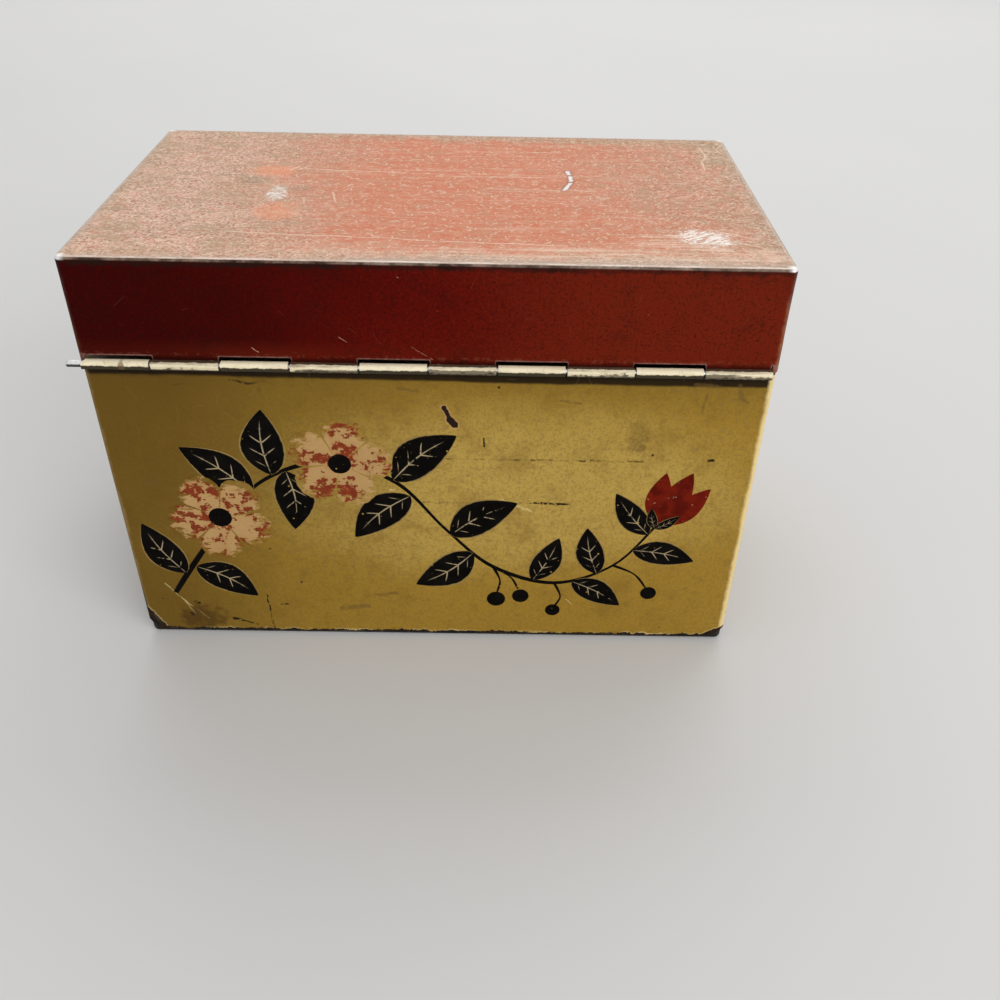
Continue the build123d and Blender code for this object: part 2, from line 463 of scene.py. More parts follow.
def plugInto(tree, inputs, plugs):
    # links or sets sockets, by name or number
    for name, value in plugs.items():
        if isinstance(value, Sock):
            tree.links.new(value.plug, inputs[name])
        else:
            inputs[name].default_value = value


def operator(operation, swapped=False):
    # a sum on a Sock, as one Math node
    return lambda self, other: self.math(operation, *((other, self) if swapped else (self, other)))


class Sock:
    # One output of a shader node. Sums on it add Math nodes.
    def __init__(self, tree, plug=None):
        self.tree, self.plug = tree, plug

    __add__, __mul__, __truediv__ = operator("ADD"), operator("MULTIPLY"), operator("DIVIDE")
    __sub__, __rsub__, __pow__ = operator("SUBTRACT"), operator("SUBTRACT", True), operator("POWER")
    __lt__, __gt__ = operator("LESS_THAN"), operator("GREATER_THAN")
    __radd__, __rmul__ = __add__, __mul__

    def __abs__(self):
        return self.math("ABSOLUTE", self)

    def node(self, kind, plugs=(), out=0, **settings):
        # a new node: first its settings, then its inputs; returns one of its outputs
        made = self.tree.nodes.new("ShaderNode" + kind)
        for name, value in settings.items():
            setattr(made, name, value)
        plugInto(self.tree, made.inputs, plugs if isinstance(plugs, dict) else dict(enumerate(plugs)))
        return Sock(self.tree, made.outputs[out])

    def math(self, operation, *values):
        return self.node("Math", values, operation=operation)

    def vector(self, operation, *values, out=0):
        return self.node("VectorMath", values, out, operation=operation)

    def parts(self):
        return [self.node("SeparateXYZ", (self,), out) for out in range(3)]

    def over(self, low, high, ends=(0.0, 1.0)):
        # smooth step from 0 at low to 1 at high
        return self.node("MapRange", (self, low, high, *ends), interpolation_type="SMOOTHSTEP")

    def under(self, low, high):
        # the same step, falling from 1 to 0
        return self.over(low, high, (1.0, 0.0))

    def sway(self, size):
        # a noise as a shift, of up to half the size either way
        return (self - 0.5) * size

    def noise(self, size, detail=3.0, roughness=0.55, stretch=(1, 1, 1), shift=(0, 0, 0)):
        # cloudy noise whose blotches are about size millimetres across
        place = self.vector("MULTIPLY_ADD", self, stretch, shift)
        plugs = {"Vector": place, "Scale": 1 / size, "Detail": detail, "Roughness": roughness}
        return self.node("TexNoise", plugs)

    def cells(self, size, out, dimensions="3D"):
        # Voronoi pattern with cells of that size
        plugs = {"Vector": self, "Scale": 1 / size}
        return self.node("TexVoronoi", plugs, out, voronoi_dimensions=dimensions)

    def flat(self):
        # place on any wall, top or bottom, as two numbers: x + y and z + y
        x, y, z = self.parts()
        return self.node("CombineXYZ", (x + y, z + y, 0.0))

    def around(self):
        # place on the four walls, as two numbers: x + y and z
        x, y, z = self.parts()
        return self.node("CombineXYZ", (x + y, z, 0.0))

    def shaken(self, kept, *shifts):
        # the place times kept, moved by a shift along each axis
        return self.vector("MULTIPLY_ADD", self, kept, self.node("CombineXYZ", shifts))


def palette(**colours):
    # Screen colours, 0 to 255, as the linear light that a shader works in: with c from 0 to 1,
    # c / 12.92 for the darkest, else ((c + 0.055) / 1.055)^2.4.
    share = np.array(list(colours.values())) / 255
    linear = np.where(share <= 0.04045, share / 12.92, ((share + 0.055) / 1.055) ** 2.4)
    return {name: (*light, 1.0) for name, light in zip(colours, linear.tolist())}


def mixed(mask, under, over):
    # colour over another where the mask is 1
    anySock = next(sock for sock in (mask, under, over) if isinstance(sock, Sock))
    return anySock.node("Mix", {0: mask, 6: under, 7: over}, 2, data_type="RGBA", clamp_factor=True)


def layered(colour, colours, *layers):
    # Colours laid one over another, first to last. A layer is a colour, or its name, and its mask.
    for coat, mask in layers:
        colour = mixed(mask, colour, colours[coat] if isinstance(coat, str) else coat)
    return colour


def larger(first, *others):
    for other in others:
        first = first.math("MAXIMUM", first, other)
    return first


def smaller(first, *others):
    for other in others:
        first = first.math("MINIMUM", first, other)
    return first


def strokes(point, runs, levelAxis):
    # How much of each straight stroke covers the point, 0 to 1, the largest of all strokes. A stroke is
    # two coordinates of each end, as it is at 0 along the level axis, and its width. Distance to a
    # segment: d = |p - a - h (b - a)|, with h = clamp((p - a).(b - a) / |b - a|^2).
    covers = []
    for *ends, width in runs:
        a, b = np.insert(np.reshape(ends, (2, 2)).astype(float), levelAxis, 0, axis=1)
        along = b - a
        fromStart = point.vector("SUBTRACT", point, tuple(a))
        share = fromStart.vector("DOT_PRODUCT", fromStart, tuple(along / (along @ along)), out=1)
        share = share.node("Clamp", (share, 0.0, 1.0))
        there = fromStart.node("VectorMath", {0: tuple(along), "Scale": share}, operation="SCALE")
        away = fromStart.vector("DISTANCE", fromStart, there, out=1)
        covers.append(away.under(0.25 * width, 0.65 * width))
    return larger(*covers)


def fibres(point, cell, length, width, lean=0.0, spread=math.pi, seed=0.0):
    # Short fine scratches, at most one in each cell of a Voronoi pattern in the XY plane, turned at
    # random by up to spread either way from lean, and a little bent.
    place = point.vector("MULTIPLY_ADD", point, (1, 1, 0), (seed, 0.7 * seed, 0))
    first, second, third = place.cells(cell, "Color", "2D").parts()
    x, y, _ = place.vector("SUBTRACT", place, place.cells(cell, "Position", "2D")).parts()
    turn = first.sway(2 * spread) + lean
    cosine, sine = turn.math("COSINE", turn), turn.math("SINE", turn)
    along = x * cosine + y * sine
    across = y * cosine - x * sine + second.sway(0.5 / length) * along * along
    reach = length * (0.25 + 0.75 * third)
    return (abs(along) / reach).under(0.7, 1.0) * abs(across).under(0.3 * width, 0.7 * width)


def specks(point, cell, size, share=0.5):
    # Round specks, at most one in each cell of a Voronoi pattern, in that share of the cells.
    first, second, _ = point.cells(cell, "Color").parts()
    away = point.cells(cell, "Distance") * cell
    return (away / (size * (0.35 + 0.65 * second))).under(0.6, 1.0) * (first < share)


def newFinish(name):
    # an empty material, and the place on the object in millimetres
    finish = bpy.data.materials.new(name)
    finish.use_nodes = True
    place = Sock(finish.node_tree).node("TexCoord", out="Object")
    return finish, place.node("VectorMath", {0: place, "Scale": 1 / mm}, operation="SCALE")


def sealed(finish, colour, roughness, metallic=0.0, shine=0.5, relief=None, depth=0.0):
    # Sets the sockets of the material's shader. The relief's depth is in millimetres.
    tree = finish.node_tree
    shader = next(node for node in tree.nodes if node.type == "BSDF_PRINCIPLED")
    plugs = {"Base Color": colour, "Roughness": roughness, "Metallic": metallic, "Specular IOR Level": shine}
    if relief:
        plugs["Normal"] = relief.node("Bump", {"Strength": 1.0, "Distance": depth * mm, "Height": relief})
    plugInto(tree, shader.inputs, plugs)
    return finish


# The same places in millimetres, for the shaders.
hingeYmm, hingeZmm = hingeY / mm, hingeZ / mm
sideXmm, frontYmm, hingeWallmm = sideX / mm, frontY / mm, hingeWall / mm
lidTopmm, lidXmm, lidFrontmm = lidHigh.z / mm, lidHigh.x / mm, lidHigh.y / mm

# Marks on the hinge side are strokes: X and Z of both ends, and width. A blot is an ellipse.
mustard = dict(
    palette(
        clean=(182, 151, 74), deep=(157, 123, 44), aged=(96, 71, 20), grime=(52, 38, 16),
        stain=(116, 86, 32), pale=(230, 206, 146), speck=(20, 9, 6), blot=(70, 46, 14),
        smudge=(104, 80, 40), halo=(206, 156, 112), contact=(26, 15, 3),
        bare=(30, 25, 21), bareLight=(74, 64, 54), rust=(48, 31, 19),
    ),
    shine=0.09,
    nick=((2.5, 63.1, 3.5, 61.0, 0.95), (3.8, 60.3, 4.6, 59.0, 1.6)),
    nickHalo=((2.5, 63.1, 3.5, 61.0, 1.4), (3.8, 60.3, 4.6, 59.0, 2.1)),
    dark=(
        (-39.1, 12.1, -38.5, 1.7, 0.34), (-47.6, 4.6, -46.0, 4.2, 1.0), (-46.0, 4.2, -42.4, 2.8, 0.34),
        (-55.8, 9.7, -55.2, 9.5, 1.0), (-57.4, 6.3, -57.0, 5.7, 0.9), (57.6, 51.2, 58.3, 51.4, 0.8),
        (-36.2, 9.4, -34.6, 9.5, 0.5), (21.7, 39.6, 28.9, 39.4, 0.6), (10.6, 55.9, 10.7, 54.0, 0.4),
    ),
    smudges=(
        (54.9, 67.3, 54.4, 62.6, 0.5), (41.2, 54.2, 43.4, 54.3, 1.9), (-60.4, 44.0, -58.6, 43.4, 1.2),
        (-14.0, 12.6, -9.0, 13.2, 1.0), (26, 65.2, 30, 64.6, 0.6), (-6.4, 67.4, -2.6, 66.9, 0.7),
        (61.2, 69.0, 61.9, 66.4, 1.3), (61.9, 66.4, 63.4, 65.4, 0.7), (52.4, 69.4, 57.0, 69.0, 1.0),
        (-22, 8.4, -16, 9.2, 1.4),
    ),
    ruled=(
        (-14, 50.6, 44.3, 50.8, 0.5), (-4, 39.3, 28.9, 39.6, 0.42), (-48, 32.6, -37, 33.6, 0.36),
        (-34.2, 66.8, -34.0, 66.2, 0.8), (-52.6, 68.2, -51.0, 67.3, 0.5), (-51.0, 67.3, -48.4, 67.9, 0.4),
        (-39.6, 68.7, -36.0, 68.0, 0.6), (-36.0, 68.0, -32.6, 68.7, 0.55),
    ),
    light=(
        (-62, 15.2, -58.4, 10.2, 0.34), (-58.4, 10.2, -56.4, 6.2, 0.36), (-58.4, 10.2, -53.4, 4.6, 0.26),
        (14.2, 40.4, 17.6, 39.0, 0.5), (17.6, 39.0, 21, 37.2, 0.5), (17, 39, 16, 36.8, 0.4),
        (-46.2, 45.4, -42.4, 50.0, 0.45), (-15.1, 45.9, -14.2, 45.7, 0.7), (-9.2, 42.6, -8.4, 42.5, 0.6),
        (30, 12, 31.4, 10.6, 0.3),
    ),
    blots=((-55.0, 5.0, 6.0, 4.4, 0.7), (42.2, 57.4, 2.4, 4.2, 0.3)),  # middle, half sizes and strength
)


def mustardCoat(point):
    # The walls' enamel before it was scratched: its colour, with painted shade and patina in it, and the
    # noises that it is made of.
    x, y, z = point.parts()
    onHinge = y.under(hingeWallmm + 0.3, hingeWallmm + 0.9)
    broad, cloud, grain = point.noise(42), point.noise(9, 4, 0.6), point.noise(0.9, 3, 0.6)
    sponge, fine = point.noise(2.6, 4, 0.65, shift=(2, 7, 4)), point.noise(0.5, 2, 0.6, shift=(5, 5, 5))
    # painted shade with patina: darker away from a middle at X 14 and Z 41, darker to the left, and darker
    # towards the top
    acrossX, acrossZ = (x - 14) / 56, (z - 41) / 22
    spread = (acrossX * acrossX + acrossZ * acrossZ + cloud.sway(0.9) + broad.sway(0.8)).over(0.1, 1.5)
    age = (x + broad.sway(46) + cloud.sway(22) - (z - 40) * 0.35).under(-74, 4)
    rim = (1 - onHinge) * (z + grain.sway(0.6)).over(hingeZmm - 0.1, hingeZmm + 0.5)
    high = (z + cloud.sway(9)).over(hingeZmm - 16, hingeZmm + 1) * (0.5 + 0.5 * onHinge)
    # painted shadow with grime: a dark ragged band on the walls just under the lid's edge and the curls
    grimeLine = (z + point.noise(2.6, 4).sway(2.6)).over(hingeZmm - 3.4, hingeZmm - 1.2)
    # painted shadow: a near black band on the hinge side right under the curls
    contact = (z + cloud.sway(0.8) + 0.7 * x.over(-50, 30)).over(hingeZmm - 2.9, hingeZmm - 2.2)
    colour = layered(
        mustard["clean"], mustard, ("deep", spread), ("aged", age * 0.9),
        ("stain", cloud.over(0.50, 0.72) * 0.34), ("aged", sponge.over(0.50, 0.72) * 0.24),
        ("aged", high * (0.42 - 0.3 * rim)),
        ("grime", grimeLine * (0.35 + 0.5 * onHinge) * (1 - 0.9 * rim)),
        ("aged", grain.sway(1.5) + fine.sway(2.1) + 0.05),
        ("pale", (fine + grain.sway(0.6)).over(0.58, 0.76) * 0.14 * (1 - age)),
        ("contact", contact * onHinge * 0.94),
    )
    return colour, cloud, grain, high, onHinge


def mustardEnamel():
    finish, point = newFinish("mustard_enamel")
    x, y, z = point.parts()
    colour, cloud, grain, high, onHinge = mustardCoat(point)

    # upright bends: rubbed pale, with a painted highlight, most on the right of the hinge side
    bendAway = larger(sideXmm - abs(x), frontYmm - abs(y))
    bendNoise = point.noise(1.6).sway(0.9) + point.noise(9, 2).sway(1.2)
    rubbed = (bendAway + bendNoise - 0.35 * x.over(20, 60)).under(0.30, 1.20)
    rubbed = rubbed * (0.18 + 0.82 * x.over(20, 60))

    # marks of use on the hinge side, shaken and broken by noises
    ripple, shiver = point.noise(2.3), point.noise(1.4)
    traced = point.shaken((1, 0, 1), shiver.sway(0.9), 0.0, ripple.sway(1.0))
    broken = point.noise(0.8, 3, 0.6).over(0.36, 0.5)
    dash = point.noise(5, 3, 0.6, (1, 0, 0.1)).over(0.48, 0.6)
    marks = ("nick", "nickHalo", "dark", "smudges", "ruled", "light")
    gouge, halo, dark, smudge, ruled, light = (strokes(traced, mustard[name], 1) for name in marks)
    dark = larger(gouge.over(0.15, 0.6), broken * dark)
    ruled = ruled * (0.25 + 0.75 * dash) * broken
    blots = []
    for midX, midZ, halfX, halfZ, most in mustard["blots"]:
        blotX, blotZ = (x - midX) / halfX, (z - midZ) / halfZ
        blot = (blotX * blotX + blotZ * blotZ + ripple.sway(2.6)).under(0.1, 1.3)
        blots.append(("blot", blot * onHinge * most))

    # bare metal: ragged lower edge, a worn triangle at each lower corner, and chips on the bends
    rise = z - bodyLow.z / mm
    edgeNoise = point.noise(3.4, 4, 0.65).sway(2.2) + point.noise(0.9, 2).sway(1.0)
    lower = (rise + edgeNoise * 1.15).under(0.34, 0.50)
    paleLip = (rise + edgeNoise).under(0.5, 0.9) * cloud.over(0.4, 0.6)
    cornerLeft = (x + sideXmm) / 4.4 + rise / 8.4
    cornerRight = (sideXmm - x) / 6.0 + rise / 3.6
    cornerWear = smaller(cornerLeft, cornerRight) + edgeNoise * 0.16 + (abs(y) < frontYmm - 3) * 2.0
    sliver = (x + sideXmm + edgeNoise * 0.25).under(0.3, 0.8) * (z + edgeNoise).under(11.5, 14.5)
    corner = larger(cornerWear.under(0.94, 1.0), sliver * onHinge)
    bare = larger(lower, corner, specks(point, 5.5, 0.7, 0.35) * bendAway.under(0.1, 0.6))
    metal = layered(
        mustard["bare"], mustard, ("rust", point.noise(2.2, 4).over(0.45, 0.62)),
        ("bareLight", point.noise(4, 3, 0.5, (1, 1, 0.4), (9, 2, 4)).over(0.56, 0.7) * 0.7),
    )
    colour = layered(
        colour, mustard, ("pale", rubbed * 0.9), ("halo", halo * onHinge * 0.6),
        ("smudge", smudge * (0.4 + 0.6 * broken) * onHinge * 0.55),
        ("speck", larger(dark * 0.98, ruled * 0.75) * onHinge), ("pale", light * onHinge * broken * 0.45),
        ("speck", specks(point, 6.5, 0.40) * 0.85),
        ("pale", fibres(point.around(), 9.0, 2.2, 0.10, 0.3, 1.4) * 0.06), *blots,
        ("pale", paleLip * 0.55), ("pale", ((cornerWear - 1.0).under(0.02, 0.09) - corner) * 0.35),
        (metal, bare),
    )
    relief = 0.6 * grain + cloud - bare * 2.0 - 1.6 * dark * onHinge - 0.8 * light * onHinge
    roughness = 0.40 + 0.22 * cloud + 0.10 * high + 0.15 * bare
    return sealed(finish, colour, roughness, bare * 0.2, mustard["shine"], relief, 0.03)


cream = dict(
    palette(
        clean=(226, 212, 176), aged=(200, 180, 138), curl=(224, 211, 176), curlTop=(248, 236, 204),
        curlDirt=(122, 104, 78), seam=(60, 34, 20), dark=(24, 17, 7), smear=(92, 80, 62),
        tinGrey=(120, 110, 96), brown=(112, 88, 62), rust=(104, 62, 34),
    ),
    shine=0.06,
    smears=((-18, 5, 0.10), (6, 6, 0.42), (56, 2.5, 0.42)),  # on the lid's curls: middle, half, level
)


def creamEnamel(name, curlWear):
    # The sheets' other face: inside the box, and outside on the curls, where it is dirty, with a painted
    # highlight on top and painted shade below, and, by curlWear, worn to the tin.
    finish, point = newFinish(name)
    x, y, z = point.parts()
    broad, cloud, grain = point.noise(30), point.noise(6, 4, 0.6), point.noise(0.7, 3, 0.6)
    flat = point.flat()
    hairs = larger(fibres(flat, 9, 4, 0.14, 0.2, 1.0), fibres(flat, 14, 7, 0.14, 1.2, 1.4, 5.5))
    seamAway = smaller(sideXmm - abs(x), frontYmm - abs(y), abs(lidTopmm - z)) + cloud.sway(5)
    colour = layered(
        cream["clean"], cream, ("aged", broad.over(0.42, 0.66) * 0.55),
        ("curlDirt", cloud.over(0.50, 0.75) * 0.16), ("curlDirt", grain.sway(0.9)), ("brown", hairs * 0.3),
        ("rust", specks(point, 7, 0.4, 0.3) * (0.3 + 0.6 * cloud.over(0.4, 0.6))),
        ("curlDirt", seamAway.under(0.2, 3.2) * (z > hingeZmm + 4) * 0.4),
        ("curlDirt", (z + cloud.sway(9)).under(7.5, 14) * 0.45),
    )

    # the curls, by the place from the wire's middle: worn and with a painted highlight along the top,
    # painted shade with dirt below
    downY, downZ = y - hingeYmm, z - hingeZmm
    onCurl = ((downY * downY + downZ * downZ) ** 0.5).under(1.35, 1.8)
    fine = point.noise(1.3, 4, 0.65, (1, 1.4, 1.4))
    streak = point.noise(2.4, 4, 0.6, (0.5, 2.2, 2.2), (3, 1, 7))
    drawn = point.noise(0.9, 4, 0.65, (0.10, 1.6, 1.6), (2, 2, 6)).over(0.44, 0.60)
    topWear = (downZ + fine.sway(0.5)).over(0.28, 0.62) * (0.35 + 0.65 * drawn) * (1 - 0.4 * x.over(-40, 20))
    lowLevel = -0.36 if curlWear else 0.12
    # painted shade with dirt: the lower part of each curl, below its level, in the dark colour
    low = (downZ + fine.sway(0.7) - lowLevel).under(-0.10 - 0.2 * curlWear, 0.06)
    spot = ((x + 59.6) * (x + 59.6) + downZ * downZ * 0.4).under(0.2, 0.6)
    worn = (streak.sway(2.4) + fine.sway(1.6) + x / 360 - downZ * 0.7 - 0.16).over(0.0, 0.25) * curlWear
    smears = []
    for middle, half, level in cream["smears"]:
        smear = (downZ + fine.sway(0.9) - level).under(-0.12, 0.06) * abs(x - middle).under(half, half + 3)
        smears.append(("smear", smear * curlWear * 0.85))
    curl = layered(
        cream["curl"], cream, ("curlTop", downZ.over(-0.1, 0.5)), ("aged", streak.over(0.45, 0.7) * 0.35),
        ("curlDirt", grain.over(0.55, 0.75) * 0.3), ("brown", topWear * curlWear * 0.7), *smears,
        ("dark", low * 0.94), ("brown", spot * 0.7 * (1 - curlWear)),
        (mixed(fine.over(0.4, 0.65), cream["tinGrey"], cream["dark"]), worn * 0.85),
        ("seam", (downZ + fine.sway(0.3)).over(0.86, 0.92) * curlWear * 0.92),
    )
    colour, roughness = mixed(onCurl, colour, curl), 0.42 + 0.25 * cloud + 0.3 * low * onCurl
    relief = grain + cloud + onCurl * fine * 1.5
    return sealed(finish, colour, roughness, worn * onCurl * 0.2, cream["shine"], relief, 0.03)


# Scratches on the hinge side are strokes, like the walls'. On the top, lines and chips are X and Y of
# both ends, and patches are ellipses: X and Y of the middle, and half sizes.
redCoat = dict(
    palette(
        skirtDark=(54, 2, 1), skirtMid=(88, 9, 3), skirtRed=(110, 32, 13), dirt=(30, 12, 9),
        nick=(196, 140, 112), dust=(132, 96, 78), slotEdge=(132, 90, 82), purple=(104, 84, 78),
        tan=(146, 98, 68), topMiddle=(215, 139, 109), topOuter=(208, 161, 138), topLeft=(224, 189, 168),
        topEdge=(192, 170, 146), topOlive=(180, 170, 138), topRed=(206, 108, 76), topTan=(188, 158, 130),
        flake=(242, 214, 190), fleck=(146, 100, 78), orange=(232, 146, 106), orangeSoft=(236, 164, 132),
        greyMark=(160, 144, 124), silver=(226, 222, 216), ash=(206, 190, 174), nearGrey=(190, 171, 156),
        nearPink=(232, 190, 166), outline=(96, 92, 98), bareLine=(207, 193, 181),
        bareCorner=(240, 238, 236), darkLine=(36, 19, 14),
    ),
    shine=0.03,
    scratches=(
        (-34.2, 75.9, -33.0, 75.0, 0.22), (-17.3, 78.5, -15.9, 77.4, 0.17), (-5.6, 90.8, -5.4, 90.5, 0.32),
        (-3.4, 76.6, 0.6, 73.9, 0.09),
    ),
    topLines=(
        (-33.0, 13.2, -8.0, 10.8, 0.42), (-31.6, 12.0, -29.6, 15.0, 0.4), (-33.6, 11.4, -31.8, 14.6, 0.36),
        (-40.0, -25.5, 26.0, -30.0, 0.36), (0.0, 9.8, 22.0, 9.4, 0.34), (10.0, 2.0, 34.0, 1.0, 0.3),
        (-22.2, -2.4, -20.9, -8.4, 0.5), (61.4, 33.4, 61.9, 26.6, 0.5), (61.9, 26.6, 60.2, 22.0, 0.5),
        (60.2, 22.0, 60.0, 16.2, 0.42), (54.0, -19.4, 63.6, -25.5, 0.36), (52.0, -22.2, 64.6, -30.2, 0.36),
        (3.0, 27.0, 28.0, 27.6, 0.3), (44.0, 21.0, 47.4, 18.4, 0.36),
    ),
    chips=((28.5, 13.9, 28.7, 11.9), (28.9, 10.2, 28.9, 7.6), (28.6, 6.0, 27.2, 1.8)),
    chipWidth=1.05,
    chipRimWidth=1.7,
    orangePatches=((-37.2, 11.2, 4.8, 4.6), (-31.6, -14.0, 5.0, 5.6)),
    greyPatches=((-40.6, 4.2, 4.6, 3.0), (-29.4, 0.0, 2.8, 2.0), (-47.6, 7.2, 3.2, 1.4)),
    greyShares=(1.0, 0.6, 0.7),
    olivePatch=(64, 29, 7, 12),
    ashPatch=(-34.2, -3.0, 2.4, 4.4),
    barePatch=(-34.0, -3.4, 2.0, 4.0),
    rubbedPatch=(53.6, -24.6, 6.8, 5.2),
    rubbedHalo=(50.0, -27.0, 11, 5.4),
)


def redSkirt(point, shade, grain, ragged, cloud, bendAway):
    # The lid's four sides: oxblood, darker to the left, with dirt low down and a few nicks.
    x, y, z = point.parts()
    onHinge = y.under(hingeWallmm + 0.4, hingeWallmm + 1.2)
    tone = grain.sway(1.0) + point.noise(0.5, 2, 0.6, shift=(5, 5, 5)).sway(1.8)
    low = z - hingeZmm + ragged.sway(1.6)
    dusty = abs(low - hinge["slot"] / mm - 0.4).under(0.1, 0.5) * grain.over(0.5, 0.62)

    # the slots' cut edges, a thin pale line: distance to the nearest slot, a rectangle
    turns = (x - (hingeLeft + knuckleWidth / 2) / mm) / (2 * pitch / mm) + 0.5
    fromMiddle = abs(turns.math("FRACT", turns) - 0.5) * (2 * pitch / mm)
    besides = larger(fromMiddle - (knuckleWidth / 2 + hinge["gap"]) / mm, 0.0)
    above = larger(z - (hingeZ + hinge["slot"]) / mm, 0.0)
    slotLine = ((besides * besides + above * above) ** 0.5).under(0.16, 0.36)
    hairs = fibres(point.around(), 13.0, 1.9, 0.10, 0.6, 2.6)
    traced = point.shaken((1, 0, 1), ragged.sway(0.8), 0.0, grain.sway(0.6))
    scratch = strokes(traced, redCoat["scratches"], 1) * onHinge * grain.over(0.36, 0.48)

    # upright bends: worn grey near the top, tan lower down, most on the right
    bendWear = (bendAway + ragged.sway(1.4) + cloud.sway(1.2)).under(0.25, 1.25)
    worn = mixed(z.over(lidTopmm - 9, lidTopmm - 5), redCoat["tan"], redCoat["purple"])
    skirt = layered(
        redCoat["skirtDark"], redCoat, ("skirtMid", shade.over(0.0, 0.55)),
        ("skirtRed", shade.over(0.40, 1.0) * 0.9), ("dirt", cloud.over(0.50, 0.75) * 0.3),
        ("skirtRed", tone * (0.25 + 0.9 * shade.over(0.2, 0.8))), ("dirt", tone * -1.3),
        ("skirtRed", low.under(1.8, 6.0) * (0.18 + 0.26 * x.over(-60, -30) - 0.3 * x.over(-30, 0))),
        ("dirt", low.under(1.1, 2.0) * 0.6), ("dust", dusty * 0.16),
        ("slotEdge", slotLine * onHinge * (0.5 + 0.5 * grain.over(0.4, 0.55))), ("nick", hairs * 0.06),
        ("nick", larger(specks(point, 4.4, 0.22) * 0.6, scratch * 0.8)),
        (worn, bendWear * (0.20 + 0.55 * x.over(0, 60))),
    )
    return skirt, scratch + hairs * 0.5


def patch(point, ragged, middleX, middleY, halfX, halfY):
    # 1 in the middle of an ellipse on the lid's top, 0 outside it; the noise makes its edge ragged
    x, y, _ = point.parts()
    acrossX, acrossY = (x - middleX) / halfX, (y - middleY) / halfY
    return (acrossX * acrossX + acrossY * acrossY + ragged).under(0.1, 1.2)


